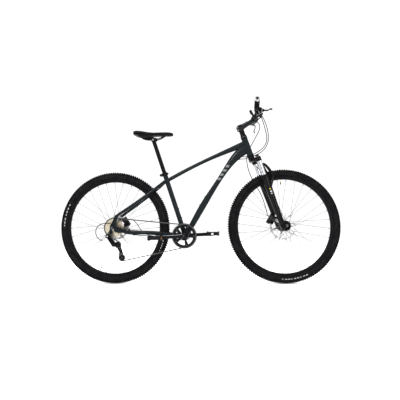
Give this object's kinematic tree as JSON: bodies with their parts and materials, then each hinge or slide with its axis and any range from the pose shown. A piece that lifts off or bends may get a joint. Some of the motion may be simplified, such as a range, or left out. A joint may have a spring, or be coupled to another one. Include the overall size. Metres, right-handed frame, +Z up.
{
  "type": "mountain bike",
  "caption": "Hardtail mountain bike with wide knobby tyres, a single chainring, disc brakes, a front suspension fork and quick-release wheels.",
  "frame": {"origin": "on the ground, in the frame's centre plane, straight below the bottom bracket's centre", "axes": "+X forward along the bike, +Y to the rider's left, +Z up; the drivetrain is on the -Y side"},
  "size_m": [1.8585, 0.7013, 1.144],
  "materials": {
    "frame_paint": "satin dark grey paint with a faint green-blue tint",
    "black_metal": "satin black anodised or painted metal",
    "silver_metal": "polished aluminium or chromed steel",
    "rotor_steel": "brushed stainless steel",
    "cassette_steel": "pale nickel-plated steel with a warm tint",
    "chain_steel": "grey oiled steel",
    "tyre_rubber": "matt black tread rubber",
    "grip_rubber": "soft black rubber",
    "saddle_skin": "black synthetic leather, slight sheen",
    "black_plastic": "matt black moulded plastic",
    "hose_black": "black housing jacket",
    "spoke_steel": "bright stainless wire"
  },
  "bodies": {
    "frame": {"head_tube": "frame_paint", "top_tube": "frame_paint", "down_tube": "frame_paint", "seat_tube": "frame_paint", "bottom_bracket_shell": "frame_paint", "rear_triangle": "frame_paint", "headset": "black_metal", "bottom_bracket": "black_metal", "seat_clamp": "black_metal", "rear_axle": "black_metal", "rear_caliper": "black_metal", "rear_derailleur": "black_metal", "chain": "chain_steel", "shift_housing": "hose_black", "rear_brake_hose": "hose_black", "cable_clips": "black_plastic"},
    "seatpost": {"seatpost": "black_metal"},
    "saddle": {"saddle_cover": "saddle_skin", "saddle_base": "black_plastic", "saddle_rails": "black_metal"},
    "seat_clamp_lever": {"seat_clamp_lever": "black_metal"},
    "rear_axle_lever": {"rear_axle_lever": "black_metal"},
    "rear_wheel": {"rear_tyre": "tyre_rubber", "rear_rim": "black_metal", "rear_spokes": "spoke_steel", "rear_hub": "black_metal", "rear_rotor": "rotor_steel"},
    "cassette": {"cassette": "cassette_steel"},
    "guide_pulley": {"guide_pulley": "black_plastic"},
    "tension_pulley": {"tension_pulley": "black_plastic"},
    "crank": {"crank_spindle": "silver_metal", "crank_arms": "black_metal", "chainring": "black_metal", "chain_guard": "black_plastic", "pedal_axles": "silver_metal"},
    "pedal_right": {"pedal_right": "black_plastic"},
    "pedal_left": {"pedal_left": "black_plastic"},
    "steering": {"fork_crown": "black_metal", "stanchions": "silver_metal", "spacers_and_top_cap": "black_metal", "stem": "black_metal", "handlebar": "black_metal", "grips": "grip_rubber", "brake_lever_mounts": "black_metal", "shifter_body": "black_plastic", "front_brake_hose": "hose_black"},
    "brake_lever_right": {"brake_lever_right": "black_metal"},
    "brake_lever_left": {"brake_lever_left": "black_metal"},
    "shift_lever": {"shift_lever": "black_plastic"},
    "release_lever": {"release_lever": "black_plastic"},
    "fork_knob": {"fork_knob": "black_plastic"},
    "fork_lowers": {"fork_lowers": "black_metal", "front_caliper": "black_metal", "front_axle": "black_metal"},
    "front_axle_lever": {"front_axle_lever": "black_metal"},
    "front_wheel": {"front_tyre": "tyre_rubber", "front_rim": "black_metal", "front_spokes": "spoke_steel", "front_hub": "black_metal", "front_rotor": "rotor_steel"}
  },
  "joints": [
    {"name": "steering", "type": "hinge", "parent": "frame", "child": "steering", "pos_m": [0.43841, 0, 0.82843], "axis": [-0.3256, 0, 0.9455], "range_deg": [-79, 61], "deforming": ["shift_housing", "rear_brake_hose", "front_brake_hose"]},
    {"name": "fork_travel", "type": "slide", "parent": "steering", "child": "fork_lowers", "axis": [-0.3256, 0, 0.9455], "range_m": [0, 0.08], "stiffness_N_per_m": 7000, "springref_m": -0.02, "deforming": ["shift_housing", "rear_brake_hose", "front_brake_hose"]},
    {"name": "front_wheel_spin", "type": "hinge", "parent": "fork_lowers", "child": "front_wheel", "pos_m": [0.64821, 0.00787, 0.3708], "axis": [-0.1489, 0.9875, -0.0513], "continuous": true},
    {"name": "front_axle_lever_swing", "type": "hinge", "parent": "fork_lowers", "child": "front_axle_lever", "pos_m": [0.63809, 0.07502, 0.36731], "axis": [-0.9884, -0.1502, -0.0231], "range_deg": [0, 165]},
    {"name": "rear_wheel_spin", "type": "hinge", "parent": "frame", "child": "rear_wheel", "pos_m": [-0.4723, 0, 0.371], "axis": [0, 1, 0], "continuous": true},
    {"name": "crank_spin", "type": "hinge", "parent": "frame", "child": "crank", "pos_m": [0, 0, 0.3144], "axis": [0, 1, 0], "continuous": true},
    {"name": "cassette_spin", "type": "hinge", "parent": "frame", "child": "cassette", "pos_m": [-0.4723, 0, 0.371], "axis": [0, 1, 0], "continuous": true},
    {"name": "guide_pulley_spin", "type": "hinge", "parent": "frame", "child": "guide_pulley", "pos_m": [-0.4492, -0.027, 0.2592], "axis": [0, 1, 0], "continuous": true},
    {"name": "tension_pulley_spin", "type": "hinge", "parent": "frame", "child": "tension_pulley", "pos_m": [-0.4174, -0.027, 0.175], "axis": [0, 1, 0], "continuous": true},
    {"name": "pedal_right_spin", "type": "hinge", "parent": "crank", "child": "pedal_right", "pos_m": [-0.17485, -0.138, 0.30707], "axis": [0, 1, 0], "continuous": true},
    {"name": "pedal_left_spin", "type": "hinge", "parent": "crank", "child": "pedal_left", "pos_m": [0.17485, 0.138, 0.32173], "axis": [0, 1, 0], "continuous": true},
    {"name": "rear_axle_lever_swing", "type": "hinge", "parent": "frame", "child": "rear_axle_lever", "pos_m": [-0.4723, 0.0835, 0.371], "axis": [-0.9371, 0, 0.3489], "range_deg": [0, 165]},
    {"name": "seat_clamp_lever_swing", "type": "hinge", "parent": "frame", "child": "seat_clamp_lever", "pos_m": [-0.15595, 0.02, 0.7159], "axis": [-0.3074, 0, 0.9516], "range_deg": [0, 150]},
    {"name": "seatpost_slide", "type": "slide", "parent": "frame", "child": "seatpost", "axis": [-0.3074, 0, 0.9516], "range_m": [-0.19, 0.03]},
    {"name": "saddle_tilt", "type": "hinge", "parent": "seatpost", "child": "saddle", "pos_m": [-0.20347, 0, 0.94436], "axis": [0, 1, 0], "range_deg": [-12, 12]},
    {"name": "brake_lever_right_pull", "type": "hinge", "parent": "steering", "child": "brake_lever_right", "pos_m": [0.51658, -0.15256, 1.09575], "axis": [-0.2186, 0.0883, -0.9718], "range_deg": [0, 14], "stiffness_Nm_per_rad": 0.8, "springref_deg": -8.59},
    {"name": "brake_lever_left_pull", "type": "hinge", "parent": "steering", "child": "brake_lever_left", "pos_m": [0.46417, 0.19505, 1.0777], "axis": [0.1682, 0.2466, 0.9544], "range_deg": [0, 14], "stiffness_Nm_per_rad": 0.8, "springref_deg": -8.59},
    {"name": "shift_lever_push", "type": "hinge", "parent": "steering", "child": "shift_lever", "pos_m": [0.49846, -0.13839, 1.07028], "axis": [-0.3256, 0, 0.9455], "range_deg": [-35, 0], "stiffness_Nm_per_rad": 0.3, "springref_deg": 8.59},
    {"name": "release_lever_push", "type": "hinge", "parent": "steering", "child": "release_lever", "pos_m": [0.49846, -0.13839, 1.07028], "axis": [-0.3256, 0, 0.9455], "range_deg": [-18, 0], "stiffness_Nm_per_rad": 0.3, "springref_deg": 8.59},
    {"name": "fork_knob_turn", "type": "hinge", "parent": "steering", "child": "fork_knob", "pos_m": [0.47921, -0.0601, 0.82026], "axis": [-0.3256, 0, 0.9455], "range_deg": [-90, 0]}
  ],
  "couplings": [
    {"joint": "cassette_spin", "follows": "crank_spin", "ratio": 1.125},
    {"joint": "guide_pulley_spin", "follows": "crank_spin", "ratio": -3.2727},
    {"joint": "tension_pulley_spin", "follows": "crank_spin", "ratio": 3.2727}
  ]
}
